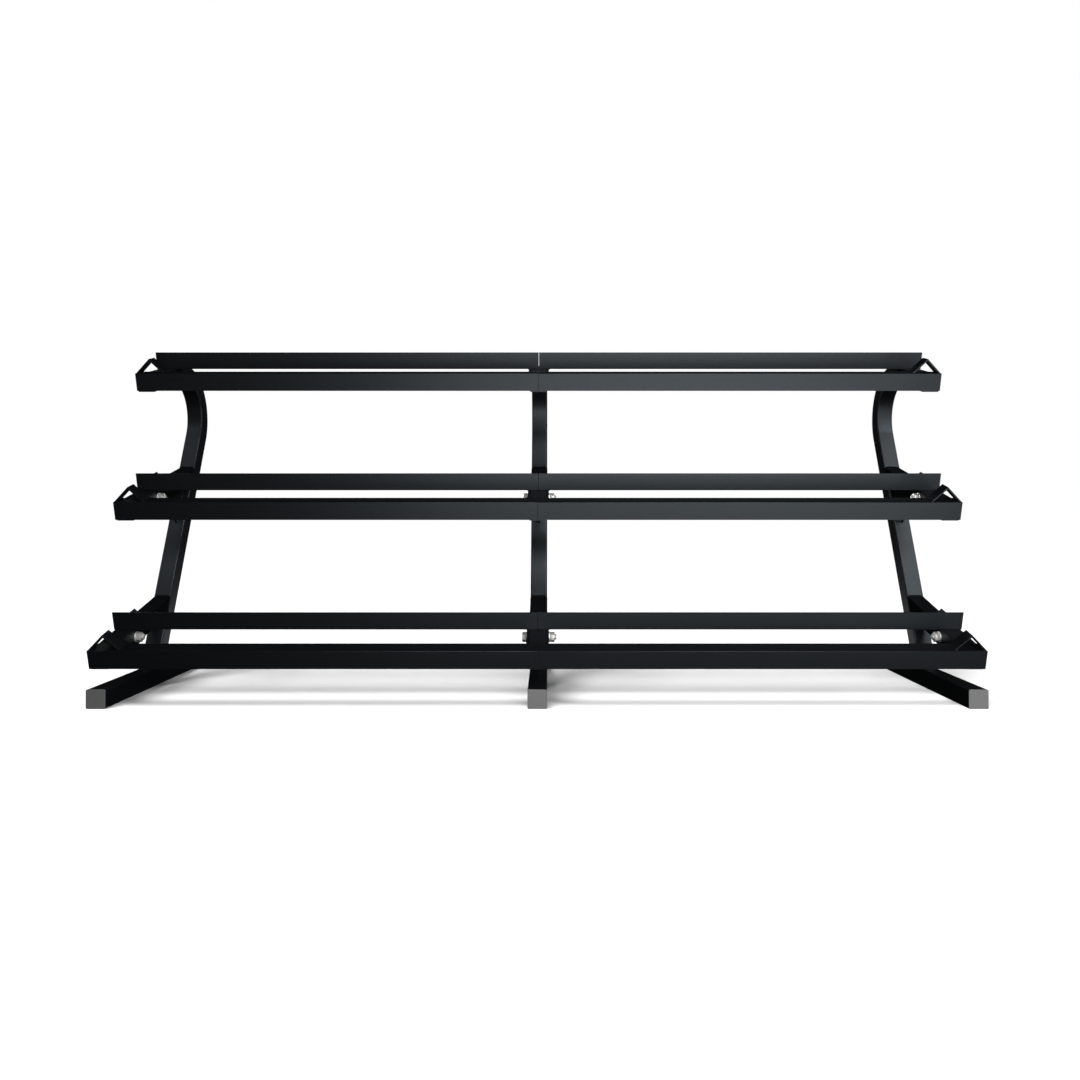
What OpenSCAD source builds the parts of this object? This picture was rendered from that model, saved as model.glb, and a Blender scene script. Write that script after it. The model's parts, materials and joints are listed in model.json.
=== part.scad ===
// Three-tier dumbbell rack for a wall or a gym floor.
// Frame: X runs along the rack, +Y is the rear, Z is up.
// Origin: middle of the footprint, on the floor.

/* [Overall] */
// Length of the shelves and outer width over the end frames
rack_length = 2320; // [1800:10:2800]
// Front-to-back length of a foot, end caps included
foot_length = 700; // [640:5:900]

/* [Frame tube] */
// Outside size of the square frame tube
tube = 50; // [42:1:60]
// Wall thickness of the frame tube
tube_wall = 3; // [2:0.5:5]
// Outside corner radius of the straight frame tubes
tube_corner = 4; // [3.5:0.5:6]

/* [Upright] */
// Backward lean of the upright from vertical, in degrees
lean = 25; // [20:0.5:27]
// Distance from the front of the foot to the upright, on top of the foot
upright_setback = 307; // [290:1:330]
// Centreline radius of the bend at the top of the upright
bend_radius = 133; // [110:1:145]

/* [Shelves] */
// Slope of the shelves, low at the front, in degrees
tilt = 15; // [10:0.5:20]
// Height of the front edge of the bottom shelf
bottom_height = 148; // [140:1:170]
// Height of the front edge of the middle shelf
middle_height = 532; // [500:1:560]
// Height of the front edge of the top shelf
top_height = 903; // [870:1:930]
// Distance from the front of the foot to the bottom shelf's front edge
bottom_setback = 4; // [0:1:30]
// Distance from the front of the foot to the middle shelf's front edge
middle_setback = 145; // [120:1:170]
// Distance from the front of the foot to the top shelf's front edge
top_setback = 276; // [250:1:300]
// Distance along the slope from front rail face to back rail face
rail_pitch = 152; // [130:1:180]
// Gap between the left and right rails where they meet
rail_seam = 1.2; // [0.5:0.1:3]

/* [Rail angle] */
// Leg width of the rail angle
leg = 50; // [40:1:60]
// Thickness of the rail angle
leg_t = 4; // [3:0.5:6]
// Radius in the root of the rail angle
root_r = 2.5; // [1:0.5:4]
// Radius on the toes of the rail angle
toe_r = 1.5; // [0.5:0.5:2.5]
// Radius on the outer corner of the rail angle
heel_r = 1; // [0.5:0.5:2]

/* [Arms] */
// Distance from the inside of the front rail face to the arm's end plug
arm_clearance = 3.5; // [3:0.5:10]
// Thickness of the mid-plane gusset under a middle arm
gusset_t = 4; // [3:0.5:6]
// Length of the gusset along the arm and along the upright
gusset_leg = 130; // [80:1:150]
// Cut-back of the gusset's inner corner, clear of the weld
gusset_relief = 12; // [6:1:20]

/* [Side plates] */
// Thickness of the plates that tie a front rail to a back rail
plate_t = 5; // [3:0.5:8]
// Height of a side plate
plate_height = 48; // [40:1:54]
// Gap between a plate's end and the rails' outer ends
plate_end_gap = 8; // [7:0.5:14]
// Chamfer on a plate's lower corners
plate_chamfer = 12; // [2:1:20]

/* [End stops] */
// Height of an end stop above the shelf
stop_height = 41; // [30:1:50]
// Length of an end stop along the slope
stop_length = 38; // [25:1:42]
// Thickness of an end stop
stop_t = 4; // [3:0.5:6]
// Distance from a rail's face to its end stop
stop_setback = 7; // [7:0.5:10]

/* [Fasteners] */
// Shank diameter of the through bolts
bolt_d = 16; // [10:1:20]
// Size of the bolt head and nut across flats
hex_af = 24; // [17:1:30]
// Height of a bolt head
head_height = 10; // [6:0.5:13]
// Height of a nut
nut_height = 13; // [8:0.5:18]
// Outside diameter of a washer
washer_d = 30; // [28:1:37]
// Thickness of a washer
washer_t = 3; // [1.5:0.5:4]
// Length of thread that stands out of the nut
thread_end = 5; // [2:0.5:10]
// Distance of a bolt from the rail edge it sits under
bolt_inset = 8; // [4:0.5:14]
// Radial clearance of a bolt in a tube or plate hole
hole_clearance = 0.75; // [0.5:0.05:1.5]
// Radial clearance of a bolt in its nut and washers
thread_clearance = 0.1; // [0.05:0.05:0.3]

/* [Caps and plugs] */
// Thickness of the visible flange of a cap or plug
cap_flange = 3; // [2:0.5:6]
// Depth of the part of a foot cap that is inside the tube
cap_insert = 22; // [12:1:40]
// Wall of the insert of a cap or plug
cap_wall = 2.5; // [1.5:0.5:4]
// Clearance between an insert and the inside of the tube
cap_clearance = 0.3; // [0.1:0.1:0.8]
// Gap between an arm plug's insert and the front bolt's hole
plug_bolt_gap = 0.75; // [0.25:0.25:5]

/* [Hidden] */
$fn = 64;
eps = 0.01;
sides = ["left", "center", "right"];
outer_x = rack_length / 2;
frame_x = [-outer_x + tube / 2, 0, outer_x - tube / 2];
foot_front = -foot_length / 2;
foot_tube = foot_length - 2 * cap_flange;

// Front top edge of each shelf's front rail, as [Y, Z].
bottom_edge = [foot_front + bottom_setback, bottom_height];
middle_edge = [foot_front + middle_setback, middle_height];
top_edge = [foot_front + top_setback, top_height];

// Unit directions in the side view, as [Y, Z].
up_dir = [sin(lean), cos(lean)];
up_front = [-cos(lean), sin(lean)];
arm_dir = [cos(tilt), sin(tilt)];
arm_up = [-sin(tilt), cos(tilt)];

// In a shelf's own frame the arm's centreline runs at this depth.
arm_depth = leg_t + tube / 2;
plug_front = leg_t + arm_clearance;
arm_front = plug_front + cap_flange;

// The upright's centreline and the top arm's centreline meet in the bend.
face_foot = [foot_front + upright_setback, tube];
axis_foot = face_foot - up_front * tube / 2;
top_axis = top_edge - arm_up * arm_depth;
bend_turn = 90 + lean + tilt;

// Distance along direction d from p to the line through q along e.
function run_to(p, d, q, e) =
    ((q[0] - p[0]) * e[1] - (q[1] - p[1]) * e[0]) / (d[0] * e[1] - d[1] * e[0]);

bend_start = axis_foot + up_front * bend_radius;
bend_rise = run_to(bend_start, up_dir, top_axis - arm_up * bend_radius, arm_dir);
bend_center = bend_start + up_dir * bend_rise;
upright_top = bend_center - up_front * bend_radius;
arm_start = bend_center + arm_up * bend_radius;
upright_run = norm(upright_top - axis_foot);
top_arm_run = norm(top_axis + arm_dir * arm_front - arm_start);

// Point where the underside of the middle arm meets the upright's face.
middle_low = middle_edge - arm_up * (leg_t + tube);
gusset_corner = middle_low + arm_dir * run_to(middle_low, arm_dir, face_foot, up_dir);

// Bolt places along the slope, under the front and the back rail.
bolt_s = [leg - bolt_inset, rail_pitch + bolt_inset];
bolt_r = bolt_d / 2;
plug_insert = bolt_s[0] - bolt_r - hole_clearance - plug_bolt_gap - arm_front;
hex_r = hex_af / 2 / cos(30);
head_chamfer = 0.12 * hex_af;

// Near faces of the side plates, as distances from the rack's middle.
plate_in_x = tube / 2;
plate_out_x = outer_x - tube - plate_t;
plate_length = rail_pitch + leg - 2 * plate_end_gap;

// ---- placing -------------------------------------------------------------

// Extrudes a side-view outline, drawn as (Y, Z), along X from x0 to x1.
module along_x(x0, x1) {
    translate([x0, 0, 0])
        rotate([90, 0, 90])
            linear_extrude(x1 - x0)
                children();
}

// A shelf's own frame: Y runs up the slope from the front edge, Z is its normal.
module on_shelf(edge) {
    translate([0, edge[0], edge[1]])
        rotate([tilt, 0, 0])
            children();
}

// Places a child at the left end or the right end of the rack.
module on_side(side) {
    mirror([side < 0 ? 1 : 0, 0, 0])
        children();
}

// ---- tube ----------------------------------------------------------------

// Square outline with round corners, centred on the origin.
module round_square(size, r) {
    square([size, size - 2 * r], center = true);
    square([size - 2 * r, size], center = true);
    for (x = [-1, 1], y = [-1, 1])
        translate([x, y] * (size / 2 - r))
            circle(r);
}

module tube_outside() {
    round_square(tube, tube_corner);
}

module tube_inside() {
    round_square(tube - 2 * tube_wall, max(tube_corner - tube_wall, 0.5));
}

// Straight bar between two side-view points, with room past either end.
module bar(from, to, past_from = 0, past_to = 0) {
    run = to - from;
    length = norm(run);
    translate([0, from[0], from[1]])
        rotate([-atan2(run[0], run[1]), 0, 0])
            translate([0, 0, -past_from])
                linear_extrude(length + past_from + past_to)
                    children();
}

// Side view of all that lies within radius r of the bend and of its two tangents.
// The bend's centre is the origin; the upright runs down from [r, 0].
module bent_region(r, past_foot, past_end) {
    far = 3 * bend_radius;
    fan = (bend_turn + 90) / 4;
    intersection() {
        circle(r);
        polygon(concat([[0, 0]], [for (k = [0:4]) far * [cos(k * fan - 45), sin(k * fan - 45)]]));
    }
    translate([0, -upright_run - past_foot])
        square([r, upright_run + past_foot]);
    rotate(bend_turn)
        square([r, top_arm_run + past_end]);
}

// Upright, bend and top arm as one solid bar of square section.
module bent_bar(size, past_foot, past_end) {
    translate([0, bend_center[0], bend_center[1]])
        rotate([90, 0, 90])
            rotate([0, 0, -lean])
                linear_extrude(size, center = true)
                    difference() {
                        bent_region(bend_radius + size / 2, past_foot, past_end);
                        bent_region(bend_radius - size / 2, past_foot + 1, past_end + 1);
                    }
}

// Holes for the two bolts of one arm.
module bolt_holes(edge) {
    on_shelf(edge)
        for (s = bolt_s)
            translate([0, s, -arm_depth])
                rotate([0, 90, 0])
                    cylinder(r = bolt_r + hole_clearance, h = 2 * tube, center = true);
}

// ---- frames --------------------------------------------------------------

module foot(i) {
    color("#1c1d1f")
        translate([frame_x[i], 0, tube / 2])
            rotate([90, 0, 0])
                linear_extrude(foot_tube, center = true)
                    difference() {
                        tube_outside();
                        tube_inside();
                    }
}

module upright(i) {
    color("#1c1d1f")
        translate([frame_x[i], 0, 0])
            difference() {
                bent_bar(tube, tube, 0);
                bent_bar(tube - 2 * tube_wall, 2 * tube, tube);
                translate([-tube, foot_front, -2 * tube])
                    cube([2 * tube, foot_length, 3 * tube]);
                bolt_holes(top_edge);
            }
}

// Straight arm from behind the front rail back to the upright's front face.
module arm(i, edge) {
    front = edge - arm_up * arm_depth + arm_dir * arm_front;
    reach = run_to(front, arm_dir, face_foot, up_dir);
    rear = front + arm_dir * reach;
    behind = face_foot - up_front * 2 * tube;
    color("#1c1d1f")
        translate([frame_x[i], 0, 0])
            difference() {
                bar(rear, front, tube, 0)
                    tube_outside();
                bar(rear, front, 2 * tube, tube)
                    tube_inside();
                bar(behind, behind + up_dir * upright_run)
                    square([2 * tube, 4 * tube], center = true);
                bolt_holes(edge);
            }
}

// Web in the middle plane of the tube, in the corner under a middle arm.
module gusset(i) {
    color("#1c1d1f")
        translate([frame_x[i], 0, 0])
            along_x(-gusset_t / 2, gusset_t / 2)
                polygon([
                    gusset_corner - up_dir * gusset_relief,
                    gusset_corner - up_dir * gusset_leg,
                    gusset_corner - arm_dir * gusset_leg,
                    gusset_corner - arm_dir * gusset_relief
                ]);
}

// ---- shelves -------------------------------------------------------------

// Removes the corner of a toe, which points along +X and +Y.
module toe_corner(x, y) {
    translate([x - toe_r, y - toe_r])
        difference() {
            square(toe_r + eps);
            circle(toe_r);
        }
}

// Equal-leg angle with its heel at the origin and its legs along +X and +Y.
module angle_outline() {
    difference() {
        union() {
            square([leg, leg_t]);
            square([leg_t, leg]);
            translate([leg_t, leg_t])
                difference() {
                    square(root_r);
                    translate([root_r, root_r])
                        circle(root_r);
                }
        }
        toe_corner(leg, leg_t);
        toe_corner(leg_t, leg);
        difference() {
            translate([-eps, -eps])
                square(heel_r + eps);
            translate([heel_r, heel_r])
                circle(heel_r);
        }
    }
}

// Rail with its face hanging down at the front and its top leg on the arms.
module front_rail(side, edge) {
    color("#2b2d30")
        on_side(side)
            on_shelf(edge)
                along_x(rail_seam / 2, outer_x)
                    mirror([0, 1])
                        angle_outline();
}

// Rail with its lip standing up at the front and its base leg on the arms.
module back_rail(side, edge) {
    color("#2b2d30")
        on_side(side)
            on_shelf(edge)
                along_x(rail_seam / 2, outer_x)
                    translate([rail_pitch, -leg_t])
                        angle_outline();
}

// Plate flat against an arm's side, under the front rail and the back rail.
module side_plate(side, edge, x) {
    color("#1c1d1f")
        on_side(side)
            difference() {
                on_shelf(edge)
                    along_x(x, x + plate_t)
                        translate([plate_end_gap, -leg_t])
                            polygon([
                                [0, 0],
                                [0, plate_chamfer - plate_height],
                                [plate_chamfer, -plate_height],
                                [plate_length - plate_chamfer, -plate_height],
                                [plate_length, plate_chamfer - plate_height],
                                [plate_length, 0]
                            ]);
                translate([x, 0, 0])
                    bolt_holes(edge);
            }
}

// Outline of a stop: a small angle with its corner up.
module stop_outline() {
    foot_w = stop_t * sqrt(2);
    polygon([
        [-stop_height, 0],
        [0, stop_height],
        [stop_height, 0],
        [stop_height - foot_w, 0],
        [0, stop_height - foot_w],
        [foot_w - stop_height, 0]
    ]);
}

// Stop across the end of a shelf, starting at s0 up the slope.
module end_stop(side, edge, s0) {
    color("#2b2d30")
        on_side(side)
            on_shelf(edge)
                translate([outer_x - stop_height, s0 + stop_length, 0])
                    rotate([90, 0, 0])
                        linear_extrude(stop_length)
                            stop_outline();
}

module front_stop(side, edge) {
    end_stop(side, edge, stop_setback);
}

module back_stop(side, edge) {
    end_stop(side, edge, rail_pitch + stop_setback);
}

// ---- caps and plugs --------------------------------------------------------

// Push-in end cap: flange at Z 0 to cap_flange, hollow insert below it.
module end_cap(insert) {
    inside = tube - 2 * tube_wall - 2 * cap_clearance;
    corner = max(tube_corner - tube_wall, 0.5);
    linear_extrude(cap_flange)
        tube_outside();
    translate([0, 0, -insert])
        linear_extrude(insert)
            difference() {
                round_square(inside, corner);
                round_square(inside - 2 * cap_wall, corner);
            }
}

module foot_caps(end) {
    color("#b8bab9")
        for (x = frame_x)
            translate([x, end * foot_tube / 2, tube / 2])
                rotate([end * -90, 0, 0])
                    end_cap(cap_insert);
}

module arm_plugs() {
    color("#2b2d30")
        for (x = frame_x, edge = [bottom_edge, middle_edge, top_edge])
            translate([x, 0, 0])
                on_shelf(edge)
                    translate([0, arm_front, -arm_depth])
                        rotate([90, 0, 0])
                            end_cap(plug_insert);
}

// ---- fasteners -------------------------------------------------------------

// Clamped stack of frame i, as [X of the head side, X of the nut side].
function clamp_x(i) = [
    [-outer_x, -outer_x + tube + plate_t],
    [-tube / 2 - plate_t, tube / 2 + plate_t],
    [outer_x, outer_x - tube - plate_t]
][i];

// Direction from head to nut for frame i.
function clamp_way(i) = i == 2 ? -1 : 1;

// Sets a child, drawn along +Z, on every bolt axis at one end of the stack.
// The child can read $stack, the thickness that its bolt clamps.
module on_bolts(stack_end) {
    for (i = [0:2], edge = [bottom_edge, middle_edge, top_edge], s = bolt_s) {
        $stack = abs(clamp_x(i)[1] - clamp_x(i)[0]);
        translate([clamp_x(i)[stack_end], 0, 0])
            on_shelf(edge)
                translate([0, s, -arm_depth])
                    rotate([-tilt, 0, 0])
                        rotate([0, 90 * clamp_way(i), 0])
                            children();
    }
}

// Hexagonal prism along +Z with its outer edge chamfered at one or both ends.
module hex_body(height, both_ends) {
    intersection() {
        cylinder(r = hex_r, h = height, $fn = 6);
        union() {
            translate([0, 0, height - head_chamfer])
                cylinder(r1 = hex_r + head_chamfer, r2 = hex_af / 2 - 0.5, h = head_chamfer);
            translate([0, 0, both_ends ? head_chamfer : 0])
                cylinder(r = hex_r + 1, h = height - (both_ends ? 2 : 1) * head_chamfer);
            if (both_ends)
                cylinder(r1 = hex_af / 2 - 0.5, r2 = hex_r + head_chamfer, h = head_chamfer);
        }
    }
}

// Bolt with its head under the washer plane; $stack is the clamped thickness.
module hex_bolt() {
    shank = $stack + 2 * washer_t + nut_height + thread_end;
    tip = 1.5;
    translate([0, 0, -washer_t]) {
        mirror([0, 0, 1])
            hex_body(head_height, false);
        cylinder(r = bolt_r, h = shank - tip);
        translate([0, 0, shank - tip])
            cylinder(r1 = bolt_r, r2 = bolt_r - tip, h = tip);
    }
}

module bolts() {
    color("#c9c9c6")
        on_bolts(0)
            hex_bolt();
}

module washer() {
    difference() {
        cylinder(d = washer_d, h = washer_t);
        translate([0, 0, -eps])
            cylinder(r = bolt_r + thread_clearance, h = washer_t + 2 * eps);
    }
}

module washers() {
    color("#c9c9c6") {
        on_bolts(0)
            translate([0, 0, -washer_t])
                washer();
        on_bolts(1)
            washer();
    }
}

module nuts() {
    color("#c9c9c6")
        on_bolts(1)
            translate([0, 0, washer_t])
                difference() {
                    hex_body(nut_height, true);
                    translate([0, 0, -eps])
                        cylinder(r = bolt_r + thread_clearance, h = nut_height + 2 * eps);
                }
}

// ---- nodes -----------------------------------------------------------------

for (i = [0:2]) {
    foot(i);
    upright(i);
    arm(i, middle_edge);
    arm(i, bottom_edge);
    gusset(i);
}

shelves = [["top", top_edge], ["middle", middle_edge], ["bottom", bottom_edge]];
halves = [["left", -1], ["right", 1]];

for (shelf = shelves, half = halves) {
    place = str(shelf[0], "_", half[0]);
    edge = shelf[1];
    side = half[1];
    front_rail(side, edge);
    back_rail(side, edge);
    side_plate(side, edge, plate_out_x);
    side_plate(side, edge, plate_in_x);
    front_stop(side, edge);
    back_stop(side, edge);
}

foot_caps(-1);  // foot_caps_front
foot_caps(1);  // foot_caps_rear
arm_plugs();
bolts();
washers();
nuts();
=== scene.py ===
"""Looks of the three-tier dumbbell rack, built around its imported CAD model.

Everything is in metres, in the CAD frame: +X along the rack, +Y to the rear, +Z up, floor at Z 0.
"""

import json
import math

import bmesh
import bpy
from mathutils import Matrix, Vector


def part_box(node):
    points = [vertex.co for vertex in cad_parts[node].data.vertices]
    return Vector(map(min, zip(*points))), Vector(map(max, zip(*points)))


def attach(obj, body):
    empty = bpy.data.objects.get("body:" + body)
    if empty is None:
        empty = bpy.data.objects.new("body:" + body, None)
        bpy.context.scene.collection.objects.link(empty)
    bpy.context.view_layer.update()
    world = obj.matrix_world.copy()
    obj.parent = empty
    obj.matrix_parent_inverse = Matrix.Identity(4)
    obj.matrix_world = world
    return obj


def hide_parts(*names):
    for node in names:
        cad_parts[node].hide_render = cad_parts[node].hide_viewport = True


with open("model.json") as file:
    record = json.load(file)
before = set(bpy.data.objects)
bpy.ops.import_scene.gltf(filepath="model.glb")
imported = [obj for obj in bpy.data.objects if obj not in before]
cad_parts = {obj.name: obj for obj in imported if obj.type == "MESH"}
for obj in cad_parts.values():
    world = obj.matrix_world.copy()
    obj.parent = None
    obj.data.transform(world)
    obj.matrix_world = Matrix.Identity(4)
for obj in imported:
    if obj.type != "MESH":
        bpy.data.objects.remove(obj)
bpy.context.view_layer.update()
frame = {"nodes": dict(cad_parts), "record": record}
NODES = frame["nodes"]
MM = 0.001

# ---- camera ------------------------------------------------------------------

CAMERA_PLACE = (0.030, -2.662, 0.5194)
LENS_MM = 30.0
SENSOR_MM = 36.0
SHIFT = (-0.00815, -0.0306)


def make_camera():
    data = bpy.data.cameras.new("camera")
    data.lens = LENS_MM
    data.sensor_width = SENSOR_MM
    data.shift_x, data.shift_y = SHIFT
    camera = bpy.data.objects.new("camera", data)
    camera.location = CAMERA_PLACE
    camera.rotation_euler = (math.radians(90), 0, 0)
    bpy.context.scene.collection.objects.link(camera)
    bpy.context.scene.camera = camera


make_camera()

# ---- sizes of the CAD model that the pieces follow -------------------------------

TILT = math.radians(15)
LEAN = math.radians(25)
TUBE = 50 * MM
TUBE_WALL = 3 * MM
TUBE_CORNER = 4 * MM
UPRIGHT_SETBACK = 307 * MM
BEND_RADIUS = 133 * MM
RAIL_PITCH = 152 * MM
BOLT_OFFSET = 8 * MM
LEG = 50 * MM
LEG_T = 4 * MM
ARM_DEPTH = LEG_T + TUBE / 2
ARM_FRONT = 10.5 * MM
GUSSET_T = 4 * MM
GUSSET_LEG = 130 * MM
GUSSET_RELIEF = 12 * MM
PLATE_T = 5 * MM
PLATE_END_GAP = 8 * MM
STOP_HEIGHT = 41 * MM
STOP_LENGTH = 38 * MM
STOP_SETBACK = 7 * MM
BOLT_R = 8 * MM
HEX_FLAT = 12 * MM
HEAD_HEIGHT = 10 * MM
NUT_HEIGHT = 13 * MM
WASHER_R = 15 * MM
WASHER_T = 3 * MM
THREAD_END = 5 * MM
THREAD_PITCH = 2 * MM
THREAD_DEPTH = 1.1 * MM
BORE_R = 8.1 * MM
BOLT_TIP = 1.5 * MM

SIDES = ("left", "center", "right")
SHELVES = ("top", "middle", "bottom")
WAYS = (-1, 1)


def low(node):
    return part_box(node)[0]


def high(node):
    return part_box(node)[1]


OUTER_X = high("front_rail_top_right").x
FOOT_FRONT = low("foot_caps_front").y
FRAME_X = {side: (low(f"foot_{side}").x + high(f"foot_{side}").x) / 2 for side in SIDES}
BOLT_S = (LEG - BOLT_OFFSET, RAIL_PITCH + BOLT_OFFSET)

# Front top edge of each shelf: setback from the front of the feet, and height.
EDGE_MM = {"bottom": (4, 148), "middle": (145, 532), "top": (276, 903)}
EDGE = {
    shelf: Vector((0, FOOT_FRONT + setback * MM, height * MM))
    for shelf, (setback, height) in EDGE_MM.items()
}

# Unit directions in the side view.
UP_DIR = Vector((0, math.sin(LEAN), math.cos(LEAN)))
UP_FRONT = Vector((0, -math.cos(LEAN), math.sin(LEAN)))
ARM_DIR = Vector((0, math.cos(TILT), math.sin(TILT)))
ARM_UP = Vector((0, -math.sin(TILT), math.cos(TILT)))
ACROSS = Vector((1, 0, 0))

FACE_FOOT = Vector((0, FOOT_FRONT + UPRIGHT_SETBACK, TUBE))
AXIS_FOOT = FACE_FOOT - UP_FRONT * TUBE / 2


def run_to(start, direction, target, along):
    """Distance from start along direction to the line through target along another one."""
    gap = target - start
    return (gap.y * along.z - gap.z * along.y) / (direction.y * along.z - direction.z * along.y)


TOP_AXIS = EDGE["top"] - ARM_UP * ARM_DEPTH
BEND_START = AXIS_FOOT + UP_FRONT * BEND_RADIUS
BEND_RUN = run_to(BEND_START, UP_DIR, TOP_AXIS - ARM_UP * BEND_RADIUS, ARM_DIR)
BEND_CENTER = BEND_START + UP_DIR * BEND_RUN


def on_shelf(shelf, x, s, n):
    """Point of a shelf's own frame: s up the slope from the front edge, n along its normal."""
    return EDGE[shelf] + ACROSS * x + ARM_DIR * s + ARM_UP * n


# ---- shader helpers ------------------------------------------------------------


def new_material(name):
    """Material with its node tree's nodes, links and main shader."""
    material = bpy.data.materials.new(name)
    material.use_nodes = True
    nodes = material.node_tree.nodes
    return material, nodes, material.node_tree.links, nodes["Principled BSDF"]


def noise(nodes, links, scale, detail=4.0, roughness=0.55):
    """Noise over the object's own coordinates, in metres."""
    place = nodes.new("ShaderNodeTexCoord")
    texture = nodes.new("ShaderNodeTexNoise")
    texture.inputs["Scale"].default_value = scale
    texture.inputs["Detail"].default_value = detail
    texture.inputs["Roughness"].default_value = roughness
    links.new(place.outputs["Object"], texture.inputs["Vector"])
    return texture.outputs["Fac"]


def ramp(nodes, links, source, low, high, start=0.3, end=0.7):
    """Maps a grey value to a range of numbers."""
    mapper = nodes.new("ShaderNodeMapRange")
    mapper.inputs["From Min"].default_value = start
    mapper.inputs["From Max"].default_value = end
    mapper.inputs["To Min"].default_value = low
    mapper.inputs["To Max"].default_value = high
    links.new(source, mapper.inputs["Value"])
    return mapper.outputs["Result"]


def mix_colors(nodes, links, factor, first, second):
    """Colour between two others, by a grey value."""
    mixer = nodes.new("ShaderNodeMix")
    mixer.data_type = "RGBA"
    mixer.inputs["A"].default_value = (*first, 1)
    mixer.inputs["B"].default_value = (*second, 1)
    links.new(factor, mixer.inputs["Factor"])
    return mixer.outputs["Result"]


def bump(nodes, links, height, distance, strength, normal=None):
    """Fine relief, on top of an earlier one if there is any."""
    node = nodes.new("ShaderNodeBump")
    node.inputs["Distance"].default_value = distance
    node.inputs["Strength"].default_value = strength
    links.new(height, node.inputs["Height"])
    if normal is not None:
        links.new(normal, node.inputs["Normal"])
    return node.outputs["Normal"]


# ---- materials -------------------------------------------------------------------

# Noise scales are in waves per metre, and depths of relief in metres.
COAT_TINT = (0.81, 0.92, 1.0, 1.0)
COAT_DARK, COAT_LIGHT = (0.0012, 0.0015, 0.0019), (0.0024, 0.0028, 0.0034)
COAT_ROUGHNESS = (0.44, 0.50)
SPECKLE, GLOSS_DRIFT = 900.0, 340.0
PEEL, PEEL_DEPTH = 520.0, 0.16 * MM
COAT_GRAIN, COAT_GRAIN_DEPTH = 2600.0, 0.03 * MM

ZINC_DARK, ZINC_LIGHT = (0.50, 0.50, 0.485), (0.66, 0.66, 0.645)
ZINC_ROUGHNESS = (0.34, 0.48)
ZINC_CLOUD = 160.0
ZINC_GRAIN, ZINC_GRAIN_DEPTH = 1500.0, 0.04 * MM
ZINC_METAL = 0.6

CAP_DARK, CAP_LIGHT, CAP_ROUGHNESS = (0.089, 0.089, 0.089), (0.100, 0.100, 0.100), 0.6
PLUG_DARK, PLUG_LIGHT, PLUG_ROUGHNESS = (0.012, 0.012, 0.013), (0.017, 0.017, 0.018), 0.5
PLASTIC_CLOUD = 60.0
PLASTIC_GRAIN, PLASTIC_GRAIN_DEPTH = 1800.0, 0.08 * MM
ROUGHNESS_SPREAD = 0.05


def powder_coat(name):
    """Satin powder coat: fine orange peel, with faint drifts in tone and gloss."""
    material, nodes, links, shader = new_material(name)
    speckle = noise(nodes, links, SPECKLE, 3.0)
    links.new(mix_colors(nodes, links, speckle, COAT_DARK, COAT_LIGHT), shader.inputs["Base Color"])
    drift = noise(nodes, links, GLOSS_DRIFT, 3.0)
    links.new(ramp(nodes, links, drift, *COAT_ROUGHNESS), shader.inputs["Roughness"])
    peel = bump(nodes, links, noise(nodes, links, PEEL, 2.0), PEEL_DEPTH, 0.30)
    grain = bump(nodes, links, noise(nodes, links, COAT_GRAIN, 1.0), COAT_GRAIN_DEPTH, 0.25, peel)
    links.new(grain, shader.inputs["Normal"])
    shader.inputs["Specular Tint"].default_value = COAT_TINT
    return material


def zinc_plate():
    """Dull bright zinc: part metal, part the chalky look of its passivation."""
    material, nodes, links, shader = new_material("zinc_plate")
    cloud = noise(nodes, links, ZINC_CLOUD, 5.0)
    links.new(mix_colors(nodes, links, cloud, ZINC_DARK, ZINC_LIGHT), shader.inputs["Base Color"])
    links.new(ramp(nodes, links, cloud, *ZINC_ROUGHNESS), shader.inputs["Roughness"])
    grain = bump(nodes, links, noise(nodes, links, ZINC_GRAIN, 2.0), ZINC_GRAIN_DEPTH, 0.3)
    links.new(grain, shader.inputs["Normal"])
    shader.inputs["Metallic"].default_value = ZINC_METAL
    return material


def moulded_plastic(name, dark, light, roughness):
    """Moulded plastic with a fine spark-eroded grain."""
    material, nodes, links, shader = new_material(name)
    cloud = noise(nodes, links, PLASTIC_CLOUD, 4.0)
    links.new(mix_colors(nodes, links, cloud, dark, light), shader.inputs["Base Color"])
    low_rough, high_rough = roughness - ROUGHNESS_SPREAD, roughness + ROUGHNESS_SPREAD
    links.new(ramp(nodes, links, cloud, low_rough, high_rough), shader.inputs["Roughness"])
    grain = bump(nodes, links, noise(nodes, links, PLASTIC_GRAIN, 3.0), PLASTIC_GRAIN_DEPTH, 0.35)
    links.new(grain, shader.inputs["Normal"])
    return material


FRAME_COAT = powder_coat("frame_coat")
RAIL_COAT = powder_coat("rail_coat")
ZINC = zinc_plate()
GREY_CAP = moulded_plastic("foot_cap_plastic", CAP_DARK, CAP_LIGHT, CAP_ROUGHNESS)
BLACK_PLUG = moulded_plastic("arm_plug_plastic", PLUG_DARK, PLUG_LIGHT, PLUG_ROUGHNESS)

BY_SLOT = {
    "frame_coat": FRAME_COAT,
    "rail_coat": RAIL_COAT,
    "zinc": ZINC,
    "foot_cap": GREY_CAP,
    "arm_plug": BLACK_PLUG,
}


def paint(piece, material):
    """Makes a material the only one of a piece."""
    piece.data.materials.clear()
    piece.data.materials.append(material)


WELD_GAP = 0.001 * MM
EDGE_RADIUS = 0.25 * MM
EDGE_SEGMENTS = 2
EDGE_ANGLE = math.radians(40)
REBUILT = ("bolts", "nuts", "washers", "upright_left", "upright_center", "upright_right")


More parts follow.
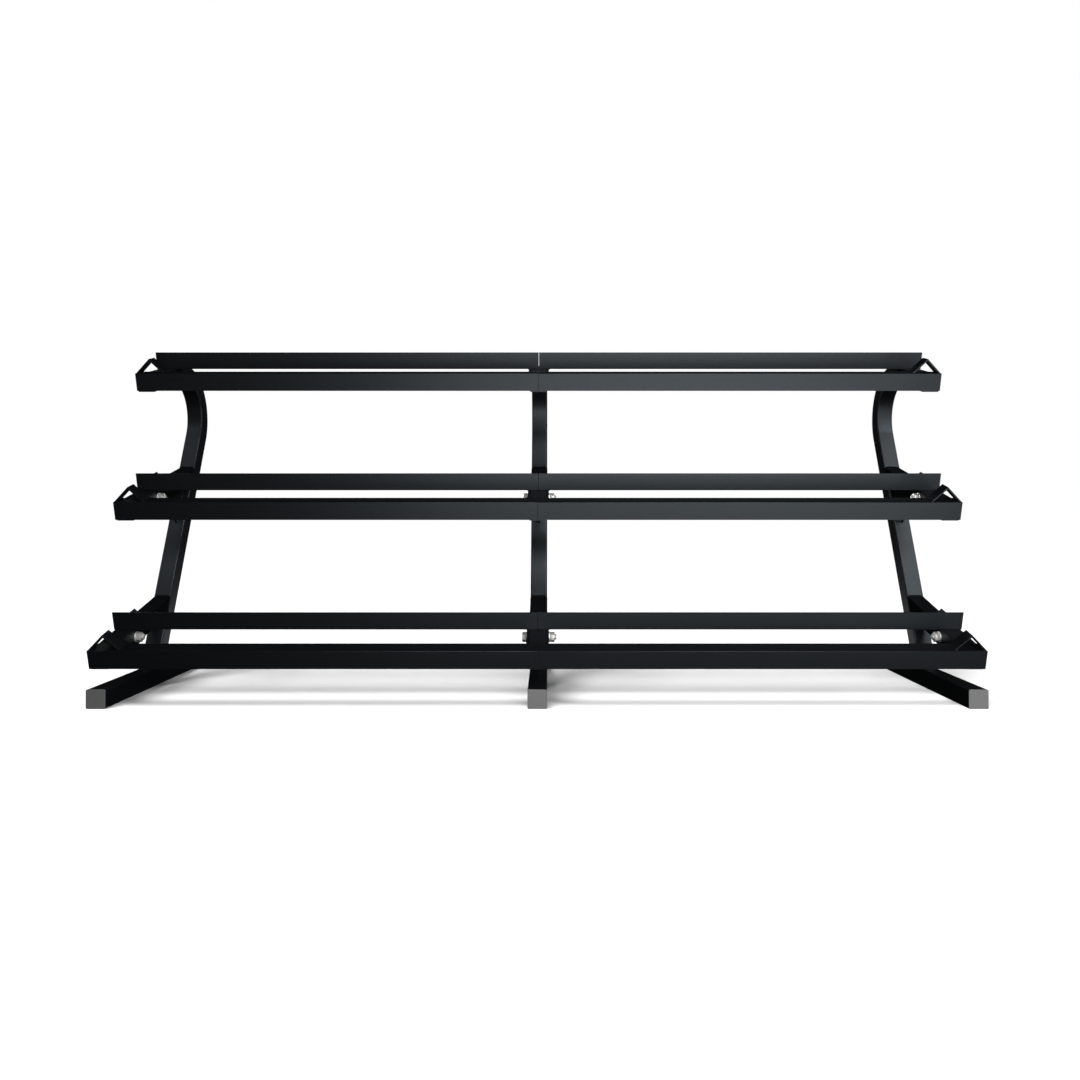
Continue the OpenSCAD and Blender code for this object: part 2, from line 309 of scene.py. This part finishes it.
def finish_cad_nodes():
    """Gives each CAD node its material and softens its sharp edges."""
    slot_of = {part["node"]: part["material_slot"] for part in frame["record"]["subparts"]}
    for name, piece in NODES.items():
        paint(piece, BY_SLOT[slot_of[name]])
        if name in REBUILT:
            continue
        weld = piece.modifiers.new("weld", "WELD")
        weld.merge_threshold = WELD_GAP
        edges = piece.modifiers.new("edges", "BEVEL")
        edges.width = EDGE_RADIUS
        edges.segments = EDGE_SEGMENTS
        edges.limit_method = "ANGLE"
        edges.angle_limit = EDGE_ANGLE
        edges.harden_normals = True


finish_cad_nodes()

# ---- mesh helpers ------------------------------------------------------------------


def add_piece(name, mesh_data, slot_name, smooth_angle=35):
    """Makes an object of a bmesh, paints it and lets it ride on the rack."""
    bmesh.ops.recalc_face_normals(mesh_data, faces=mesh_data.faces)
    mesh = bpy.data.meshes.new(name)
    mesh_data.to_mesh(mesh)
    mesh_data.free()
    piece = bpy.data.objects.new(name, mesh)
    bpy.context.scene.collection.objects.link(piece)
    mesh.shade_smooth()
    mesh.set_sharp_from_angle(angle=math.radians(smooth_angle))
    paint(piece, BY_SLOT[slot_name])
    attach(piece, "root")
    return piece


def round_square_points(size, radius, steps):
    """Square with round corners, centred on the origin, counter-clockwise."""
    half = size / 2 - radius
    points = []
    for quarter, (sx, sy) in enumerate(((1, 1), (-1, 1), (-1, -1), (1, -1))):
        for k in range(steps + 1):
            angle = math.radians(90 * quarter + 90 * k / steps)
            x = sx * half + radius * math.cos(angle)
            points.append((x, sy * half + radius * math.sin(angle)))
    return points


def join_loops(mesh_data, loops):
    """Faces between each loop of vertices and the next."""
    for first, second in zip(loops, loops[1:]):
        count = len(first)
        for k in range(count):
            after = (k + 1) % count
            mesh_data.faces.new((first[k], first[after], second[after], second[k]))


def sweep_rings(mesh_data, rings, closed=False):
    """Skin over rings of points: with flat ends, or closed from the last ring to the first."""
    loops = [[mesh_data.verts.new(point) for point in ring] for ring in rings]
    if closed:
        join_loops(mesh_data, loops + loops[:1])
    else:
        join_loops(mesh_data, loops)
        mesh_data.faces.new(list(reversed(loops[0])))
        mesh_data.faces.new(loops[-1])


def weigh_normals(piece):
    """Keeps the shading of flat faces flat next to small round corners."""
    modifier = piece.modifiers.new("weighted_normals", "WEIGHTED_NORMAL")
    modifier.keep_sharp = True


# ---- uprights ------------------------------------------------------------------------

BEND_STEPS = 40
CORNER_STEPS = 4


def upright_ring(x, size, corner, place, front, cut_at_floor):
    """Ring of tube points around a place on the centreline; front is the side-view normal."""
    ring = []
    for u, v in round_square_points(size, corner, CORNER_STEPS):
        point = place + ACROSS * (x + u) + front * v
        if cut_at_floor:
            point += UP_DIR * ((TUBE - point.z) / UP_DIR.z)
        ring.append(point)
    return ring


def upright_rings(x, size, corner):
    """Rings of one skin of an upright, from the foot round the bend to the end of the top arm."""
    rings = [upright_ring(x, size, corner, AXIS_FOOT, UP_FRONT, True)]
    first = math.atan2(UP_FRONT.z, UP_FRONT.y)
    turn = math.radians(90) + LEAN + TILT
    for k in range(BEND_STEPS + 1):
        angle = first + turn * k / BEND_STEPS
        front = Vector((0, math.cos(angle), math.sin(angle)))
        rings.append(upright_ring(x, size, corner, BEND_CENTER - front * BEND_RADIUS, front, False))
    end = TOP_AXIS + ARM_DIR * ARM_FRONT
    rings.append(upright_ring(x, size, corner, end, -ARM_UP, False))
    return rings


def make_upright(side):
    """Bent square tube with round corners, open at both ends like the real one."""
    x = FRAME_X[side]
    mesh_data = bmesh.new()
    outside = upright_rings(x, TUBE, TUBE_CORNER)
    inside = upright_rings(x, TUBE - 2 * TUBE_WALL, TUBE_CORNER - TUBE_WALL)
    outer = [[mesh_data.verts.new(point) for point in ring] for ring in outside]
    inner = [[mesh_data.verts.new(point) for point in ring] for ring in inside]
    join_loops(mesh_data, outer)
    join_loops(mesh_data, inner)
    join_loops(mesh_data, [outer[0], inner[0]])
    join_loops(mesh_data, [outer[-1], inner[-1]])
    piece = add_piece(f"upright_tube_{side}", mesh_data, "frame_coat")
    weigh_normals(piece)
    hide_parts(f"upright_{side}")


for upright_side in SIDES:
    make_upright(upright_side)

# ---- fasteners -------------------------------------------------------------------------

ROUND = 48
BEVEL_TAN = math.tan(math.radians(30))


def hex_reach(angle):
    """Radius of a hexagon with a corner at angle 0."""
    off = (angle + math.radians(30)) % math.radians(60) - math.radians(30)
    return HEX_FLAT / math.cos(math.radians(30) - abs(off))


def ring_of(radius, z):
    """Ring along local Z; radius and z are numbers, or functions of the angle."""
    ring = []
    for k in range(ROUND):
        angle = 2 * math.pi * k / ROUND
        r = radius(angle) if callable(radius) else radius
        h = z(angle) if callable(z) else z
        ring.append(Vector((r * math.cos(angle), r * math.sin(angle), h)))
    return ring


def bolt_axes():
    """X of the head's seat, X of the nut's seat, way, and place in the side view, of each bolt."""
    rows = []
    for side in SIDES:
        x = FRAME_X[side]
        for shelf in SHELVES:
            for s in BOLT_S:
                place = on_shelf(shelf, 0, s, -ARM_DEPTH)
                half = TUBE / 2
                if side == "center":
                    ends = (x - half - PLATE_T, x + half + PLATE_T, 1)
                elif side == "left":
                    ends = (x - half, x + half + PLATE_T, 1)
                else:
                    ends = (x + half, x - half - PLATE_T, -1)
                rows.append((*ends, place))
    return rows


def to_axis(rings, seat_x, way, place):
    """Turns rings drawn along +Z onto a bolt's axis, starting at seat_x."""
    return [
        [Vector((seat_x + way * p.z, place.y + p.y, place.z - way * p.x)) for p in ring]
        for ring in rings
    ]


CHAMFER_R = HEX_FLAT * 0.96
FACE_STEP = 0.4 * MM
HEAD_DISH_R = HEX_FLAT * 0.72
HEAD_DISH = 0.5 * MM
BREAK = 0.1 * MM
BREAK_RUN = 0.2 * MM
NUT_CHAMFER = 0.8
BORE_CHAMFER = 0.8 * MM
BORE_CHAMFER_RUN = 0.9 * MM
DIE_EDGE = 0.8 * MM
THREAD_RUN = 5 * MM


def chamfer_drop(angle):
    """Depth of the chamfer at the rim of a hexagon."""
    return (hex_reach(angle) - CHAMFER_R) * BEVEL_TAN


def broken_reach(angle):
    """Radius of a hexagon where its rim is broken."""
    return hex_reach(angle) - BREAK


def head_rings():
    """Bolt head from its seat at Z 0 to its top at -HEAD_HEIGHT, then the dished centre."""
    top = -HEAD_HEIGHT
    return [
        ring_of(HEAD_DISH_R * 0.05, top + HEAD_DISH),
        ring_of(HEAD_DISH_R * 0.90, top + HEAD_DISH),
        ring_of(HEAD_DISH_R, top),
        ring_of(CHAMFER_R - BREAK_RUN, top),
        ring_of(broken_reach, lambda a: top + chamfer_drop(a)),
        ring_of(hex_reach, lambda a: top + chamfer_drop(a) + BREAK_RUN),
        ring_of(hex_reach, -FACE_STEP - BREAK_RUN),
        ring_of(lambda a: hex_reach(a) - BREAK_RUN, -FACE_STEP),
        ring_of(CHAMFER_R, -FACE_STEP),
        ring_of(CHAMFER_R, 0),
        ring_of(BOLT_R, 0),
    ]


def thread_rings(start, end):
    """Helical thread between two heights, run out at both ends."""
    rings = []
    step = THREAD_PITCH / 8
    count = round((end - start) / step)
    for k in range(count + 1):
        z = start + (end - start) * k / count
        fade = min(1, (z - start) / THREAD_PITCH)
        tip = max(0, z - (end - BOLT_TIP))

        def radius(angle, z=z, fade=fade, tip=tip):
            phase = (z / THREAD_PITCH - angle / (2 * math.pi)) % 1
            groove = 1 - abs(2 * phase - 1)
            cut = THREAD_DEPTH * fade * min(1, max(0, groove * 1.25 - 0.125))
            return min(BOLT_R - cut, BOLT_R - tip)

        rings.append(ring_of(radius, z))
    return rings


def make_bolts():
    """Bolts, each with its head, plain shank and thread."""
    mesh_data = bmesh.new()
    for head_x, nut_x, way, place in bolt_axes():
        stack = abs(nut_x - head_x)
        length = stack + 2 * WASHER_T + NUT_HEIGHT + THREAD_END
        thread_start = length - NUT_HEIGHT - THREAD_END - THREAD_RUN
        rings = head_rings() + [ring_of(BOLT_R, thread_start - 1 * MM)]
        rings += thread_rings(thread_start, length)
        sweep_rings(mesh_data, to_axis(rings, head_x - way * WASHER_T, way, place))
    piece = add_piece("hex_bolts", mesh_data, "zinc", 28)
    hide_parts("bolts")


def nut_chamfer(angle):
    return NUT_CHAMFER * chamfer_drop(angle)


def make_nuts():
    """Nuts, chamfered on both faces and at both ends of the bore."""
    mesh_data = bmesh.new()
    rings = [
        ring_of(BORE_R, BORE_CHAMFER_RUN),
        ring_of(BORE_R + BORE_CHAMFER, 0),
        ring_of(CHAMFER_R - BREAK_RUN, 0),
        ring_of(broken_reach, nut_chamfer),
        ring_of(hex_reach, lambda a: nut_chamfer(a) + BREAK_RUN),
        ring_of(hex_reach, lambda a: NUT_HEIGHT - nut_chamfer(a) - BREAK_RUN),
        ring_of(broken_reach, lambda a: NUT_HEIGHT - nut_chamfer(a)),
        ring_of(CHAMFER_R - BREAK_RUN, NUT_HEIGHT),
        ring_of(BORE_R + BORE_CHAMFER, NUT_HEIGHT),
        ring_of(BORE_R, NUT_HEIGHT - BORE_CHAMFER_RUN),
    ]
    for _, nut_x, way, place in bolt_axes():
        sweep_rings(mesh_data, to_axis(rings, nut_x + way * WASHER_T, way, place), closed=True)
    piece = add_piece("hex_nuts", mesh_data, "zinc", 28)
    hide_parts("nuts")


def make_washers():
    """Pressed washers: one edge rounded by the die, the other one nearly sharp."""
    mesh_data = bmesh.new()
    rings = [
        ring_of(BORE_R, 0),
        ring_of(WASHER_R - BREAK_RUN, 0),
        ring_of(WASHER_R, BREAK_RUN),
        ring_of(WASHER_R, WASHER_T - DIE_EDGE),
        ring_of(WASHER_R - 0.25 * MM, WASHER_T - 0.25 * MM),
        ring_of(WASHER_R - DIE_EDGE, WASHER_T),
        ring_of(BORE_R + 0.3 * MM, WASHER_T),
        ring_of(BORE_R, WASHER_T - 0.3 * MM),
    ]
    for head_x, nut_x, way, place in bolt_axes():
        sweep_rings(mesh_data, to_axis(rings, head_x, -way, place), closed=True)
        sweep_rings(mesh_data, to_axis(rings, nut_x, way, place), closed=True)
    piece = add_piece("flat_washers", mesh_data, "zinc", 28)
    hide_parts("washers")


make_bolts()
make_nuts()
make_washers()

# ---- weld beads ------------------------------------------------------------------------

BEAD_STEP = 0.8 * MM
RIPPLE_PITCH = 2.6 * MM
PROFILE_STEPS = 6
BELLY = 0.62
TAPER_RUN = 3 * MM
WANDER = 0.06
WANDER_RUN = 11 * MM
FOOTING = 0.3 * MM
SEAM_FOOTING = 0.5 * MM


def bead(mesh_data, start, end, side_a, side_b, width, seed):
    """Weld bead from start to end, lying between two faces that leave the joint along a and b.

    Scallops repeat along the bead, as laid by a moving torch, and both ends taper off.
    """
    run = (end - start).length
    count = max(6, round(run / BEAD_STEP))
    footing = (side_a + side_b).normalized() * FOOTING
    rings = []
    for k in range(count + 1):
        t = k / count
        along = t * run
        scallop = abs(math.sin(math.pi * along / RIPPLE_PITCH + seed))
        wander = math.sin(0.9 * seed + along / WANDER_RUN) * WANDER
        taper = min(1, 0.35 + min(along, run - along) / TAPER_RUN)
        size = width * taper * (0.88 + 0.12 * scallop + wander)
        center = start.lerp(end, t)
        ring = []
        for j in range(PROFILE_STEPS + 1):
            angle = math.radians(90) * j / PROFILE_STEPS
            bulge = BELLY + (1 - BELLY) * abs(math.cos(2 * angle))
            away = side_a * math.cos(angle) + side_b * math.sin(angle)
            ring.append(center + away * size * bulge)
        ring.append(center + side_b * size * 0.5 - footing - side_a * FOOTING)
        ring.append(center - footing)
        ring.append(center + side_a * size * 0.5 - footing - side_b * FOOTING)
        rings.append(ring)
    sweep_rings(mesh_data, rings)


def seam_bead(mesh_data, start, end, outward, across, width, height, seed):
    """Low bead that closes the joint between two faces in one plane."""
    run = (end - start).length
    count = max(6, round(run / BEAD_STEP))
    rings = []
    for k in range(count + 1):
        t = k / count
        along = t * run
        scallop = abs(math.sin(math.pi * along / RIPPLE_PITCH + seed))
        taper = min(1, 0.4 + min(along, run - along) / TAPER_RUN)
        half = width / 2 * taper * (0.9 + 0.1 * scallop)
        rise = height * taper * (0.75 + 0.25 * scallop)
        center = start.lerp(end, t)
        ring = []
        for j in range(PROFILE_STEPS + 1):
            angle = math.pi * j / PROFILE_STEPS
            away = across * half * math.cos(angle) + outward * rise * math.sin(angle)
            ring.append(center + away)
        ring.append(center - across * half * 0.8 - outward * SEAM_FOOTING)
        ring.append(center + across * half * 0.8 - outward * SEAM_FOOTING)
        rings.append(ring)
    sweep_rings(mesh_data, rings)


BEAD_SMOOTH = 50
BEAD = 4.5 * MM
GUSSET_BEAD = 3.4 * MM
PLATE_BEAD = 3.6 * MM
STOP_BEAD = 3.0 * MM
BEAD_END_GAP = 2 * MM
SEAM_WIDTH = 6 * MM
SEAM_HEIGHT = 0.9 * MM
FOOT_SEAM_HEIGHT = 1.6 * MM
SEAM_SINK = 0.2 * MM


def foot_joint_beads(mesh_data, x, seed):
    """Upright on the foot: a bead in front and behind, and a seam on either side."""
    rear_foot = FACE_FOOT + Vector((0, TUBE / math.cos(LEAN), 0))
    half = TUBE / 2 - TUBE_CORNER
    forward = Vector((0, -1, 0))
    near, far = ACROSS * (x - half), ACROSS * (x + half)
    bead(mesh_data, FACE_FOOT + near, FACE_FOOT + far, forward, UP_DIR, BEAD, seed)
    bead(mesh_data, rear_foot + far, rear_foot + near, -forward, UP_DIR, BEAD, seed + 1)
    for way in WAYS:
        skin = ACROSS * (x + way * (TUBE / 2 - TUBE_CORNER * 0.35))
        outward = Vector((way * 0.8, 0, 0.6)).normalized()
        across = Vector((-way * 0.6, 0, 0.8)).normalized()
        ends = FACE_FOOT + skin, rear_foot + skin
        seam_bead(mesh_data, *ends, outward, across, SEAM_WIDTH, FOOT_SEAM_HEIGHT, seed + way)


def arm_corner(shelf, n):
    """Where the arm's face at height n on the shelf's normal meets the upright."""
    line = on_shelf(shelf, 0, 0, n)
    return line + ARM_DIR * run_to(line, ARM_DIR, FACE_FOOT, UP_DIR)


def arm_joint_beads(mesh_data, x, shelf, seed):
    """Arm on the upright's front face: beads above and below, and a seam on either side."""
    corners = []
    half = TUBE / 2 - TUBE_CORNER
    for n, side_a in ((-LEG_T, UP_DIR), (-LEG_T - TUBE, -UP_DIR)):
        corner = arm_corner(shelf, n)
        if shelf == "middle" and n < -LEG_T:
            for way in WAYS:
                near = corner + ACROSS * (x + way * (GUSSET_T / 2 + 1 * MM))
                far = corner + ACROSS * (x + way * half)
                bead(mesh_data, near, far, side_a, -ARM_DIR, BEAD, seed + way)
        else:
            near, far = corner + ACROSS * (x - half), corner + ACROSS * (x + half)
            bead(mesh_data, near, far, side_a, -ARM_DIR, BEAD, seed)
        corners.append(corner)
    inset = (corners[1] - corners[0]).normalized() * BEAD_END_GAP
    for way in WAYS:
        skin = ACROSS * (x + way * (TUBE / 2 - SEAM_SINK))
        ends = corners[0] + inset + skin, corners[1] - inset + skin
        seam_bead(
            mesh_data, *ends, ACROSS * way, UP_FRONT, SEAM_WIDTH, SEAM_HEIGHT, seed + way
        )


def gusset_beads(mesh_data, x, seed):
    """Gusset to the arm above it and to the upright behind it, on both of its faces."""
    corner = arm_corner("middle", -LEG_T - TUBE)
    for way in WAYS:
        skin = ACROSS * (x + way * GUSSET_T / 2)
        out = ACROSS * way
        for along, away in ((-ARM_DIR, -ARM_UP), (-UP_DIR, UP_FRONT)):
            first = corner + along * (GUSSET_RELIEF + BEAD_END_GAP) + skin
            last = corner + along * (GUSSET_LEG - 3 * MM) + skin
            bead(mesh_data, first, last, out, away, GUSSET_BEAD, seed + way)


def make_frame_welds(side, seed):
    """Beads of one frame: the upright, its arms, its gusset and its foot."""
    mesh_data = bmesh.new()
    x = FRAME_X[side]
    foot_joint_beads(mesh_data, x, seed)
    arm_joint_beads(mesh_data, x, "bottom", seed + 2)
    arm_joint_beads(mesh_data, x, "middle", seed + 4)
    gusset_beads(mesh_data, x, seed + 6)
    add_piece(f"weld_beads_{side}", mesh_data, "frame_coat", BEAD_SMOOTH)


def make_shelf_welds(shelf, seed):
    """Side plates to the rails above them, and end stops to the rails under them."""
    mesh_data = bmesh.new()
    plate_ends = (
        (PLATE_END_GAP + BEAD_END_GAP, LEG - 3 * MM),
        (RAIL_PITCH + BEAD_END_GAP, RAIL_PITCH + LEG - PLATE_END_GAP - BEAD_END_GAP),
    )
    inner_face = TUBE / 2 + PLATE_T
    outer_face = OUTER_X - TUBE - PLATE_T
    for way in WAYS:
        for face_x, out in ((inner_face, 1), (outer_face, -1)):
            for s0, s1 in plate_ends:
                start = on_shelf(shelf, way * face_x, s0, -LEG_T)
                end = on_shelf(shelf, way * face_x, s1, -LEG_T)
                bead(mesh_data, start, end, ACROSS * way * out, -ARM_UP, PLATE_BEAD, seed + s0)
        for s0 in (STOP_SETBACK, RAIL_PITCH + STOP_SETBACK):
            foot_x = OUTER_X - 2 * STOP_HEIGHT
            slope = (ACROSS * way + ARM_UP).normalized()
            start = on_shelf(shelf, way * foot_x, s0 + BEAD_END_GAP, 0)
            end = on_shelf(shelf, way * foot_x, s0 + STOP_LENGTH - BEAD_END_GAP, 0)
            bead(mesh_data, start, end, -ACROSS * way, slope, STOP_BEAD, seed + s0 + way)
    add_piece(f"weld_beads_{shelf}", mesh_data, "rail_coat", BEAD_SMOOTH)


for weld_seed, weld_side in enumerate(SIDES):
    make_frame_welds(weld_side, 1.7 * weld_seed)
for weld_seed, weld_shelf in enumerate(SHELVES):
    make_shelf_welds(weld_shelf, 0.8 + 1.3 * weld_seed)

# ---- floor, world and lights ---------------------------------------------------------

FLOOR_SIZE = 60.0
FLOOR_DARK, FLOOR_LIGHT = (0.86, 0.86, 0.86), (0.88, 0.88, 0.88)
ROOM_FILL = (0.006, 0.006, 0.006)


def make_floor():
    """Pale matt floor, which the coat neither mirrors nor takes light from."""
    mesh_data = bmesh.new()
    bmesh.ops.create_grid(mesh_data, x_segments=1, y_segments=1, size=FLOOR_SIZE / 2)
    mesh = bpy.data.meshes.new("floor")
    mesh_data.to_mesh(mesh)
    mesh_data.free()
    floor = bpy.data.objects.new("floor", mesh)
    bpy.context.scene.collection.objects.link(floor)
    material, nodes, links, shader = new_material("floor_pale")
    tone = noise(nodes, links, 3.0, 2.0)
    links.new(mix_colors(nodes, links, tone, FLOOR_DARK, FLOOR_LIGHT), shader.inputs["Base Color"])
    shader.inputs["Roughness"].default_value = 1.0
    shader.inputs["Specular IOR Level"].default_value = 0.0
    floor.data.materials.append(material)
    floor.visible_glossy = False
    floor.visible_diffuse = False
    return floor


def make_world():
    """White backdrop to the eye, and a dim room to the object, so that the coat stays black."""
    world = bpy.data.worlds.new("studio")
    bpy.context.scene.world = world
    world.use_nodes = True
    nodes = world.node_tree.nodes
    links = world.node_tree.links
    room = nodes["Background"]
    room.inputs["Color"].default_value = (*ROOM_FILL, 1)
    backdrop = nodes.new("ShaderNodeBackground")
    backdrop.inputs["Color"].default_value = (1, 1, 1, 1)
    seen = nodes.new("ShaderNodeLightPath")
    mixer = nodes.new("ShaderNodeMixShader")
    links.new(seen.outputs["Is Camera Ray"], mixer.inputs["Fac"])
    links.new(room.outputs["Background"], mixer.inputs[1])
    links.new(backdrop.outputs["Background"], mixer.inputs[2])
    links.new(mixer.outputs["Shader"], nodes["World Output"].inputs["Surface"])


def aim(light, target):
    """Turns a light towards a point."""
    way = Vector(target) - light.location
    light.rotation_euler = way.to_track_quat("-Z", "Y").to_euler()


def light_only(light, pieces):
    """Limits a light to some pieces."""
    receivers = bpy.data.collections.new(f"{light.name}_receivers")
    for piece in pieces:
        receivers.objects.link(piece)
    light.light_linking.receiver_collection = receivers


def panel_light(name, place, target, size, power, pieces):
    """Soft rectangular light, on everything or on some pieces only."""
    data = bpy.data.lights.new(name, "AREA")
    data.shape = "RECTANGLE"
    data.size, data.size_y = size
    data.energy = power
    light = bpy.data.objects.new(name, data)
    light.location = place
    light.visible_camera = False
    aim(light, target)
    bpy.context.scene.collection.objects.link(light)
    if pieces:
        light_only(light, pieces)


def floor_light(floor, way, spread, power):
    """Even light on the floor alone, so that the floor is white while the coat stays black."""
    data = bpy.data.lights.new("floor_soft", "SUN")
    data.angle = math.radians(spread)
    data.energy = power
    light = bpy.data.objects.new("floor_soft", data)
    light.rotation_euler = Vector(way).to_track_quat("-Z", "Y").to_euler()
    bpy.context.scene.collection.objects.link(light)
    light_only(light, [floor])


def pieces_named(*starts):
    """Visible pieces of the rack whose names start so."""
    return [
        piece
        for piece in bpy.context.scene.objects
        if piece.type == "MESH" and piece.name.startswith(starts)
    ]


bpy.context.scene.view_settings.view_transform = "Standard"
make_world()
floor_light(make_floor(), (0.35, 0.30, -1), 35, 4.1)

UPRIGHTS = pieces_named("upright_tube")
BRIGHT_PARTS = UPRIGHTS + pieces_named("hex_", "flat_", "foot_caps")
SHELF_PARTS = pieces_named("front_", "back_", "foot_caps", "hex_", "flat_", "arm_plugs")

# Name, place, target, size, power, and the pieces it is limited to.
PANELS = (
    ("bounce", (0.60, -1.9, 0.03), (0.3, 0, 0.55), (2.4, 0.8), 32, None),
    ("front_key", (1.2, -3.4, 1.45), (0.2, 0, 0.5), (2.2, 1.0), 80, None),
    ("high_soft", (0.6, -2.4, 3.1), (0.2, 0.1, 0.5), (2.4, 1.0), 30, None),
    ("high_right", (2.3, -2.4, 3.1), (0.9, 0.1, 0.5), (1.6, 1.0), 54, BRIGHT_PARTS),
    ("high_middle", (0.3, -2.4, 3.1), (0.0, 0.1, 0.5), (1.6, 1.0), 24, BRIGHT_PARTS),
    ("high_left", (-2.2, -2.4, 3.1), (-0.9, 0.1, 0.5), (1.6, 1.0), 14, BRIGHT_PARTS),
    ("left_fill", (-4.0, 0.4, 1.2), (0, 0, 0.4), (1.5, 1.5), 16, None),
    ("right_fill", (4.0, 0.4, 1.2), (0, 0, 0.4), (1.5, 1.5), 20, None),
    ("rear_key", (-1.4, 3.6, 1.3), (-0.1, 0, 0.45), (2.4, 0.8), 80, SHELF_PARTS),
    ("rear_bounce", (0.0, 0.85, 0.012), (0, 0.65, 1.0), (2.6, 0.7), 4, UPRIGHTS),
    ("rear_high", (-0.6, 2.0, 3.6), (-0.1, 0, 0.6), (2.4, 0.8), 28, UPRIGHTS),
)
for panel in PANELS:
    panel_light(*panel)
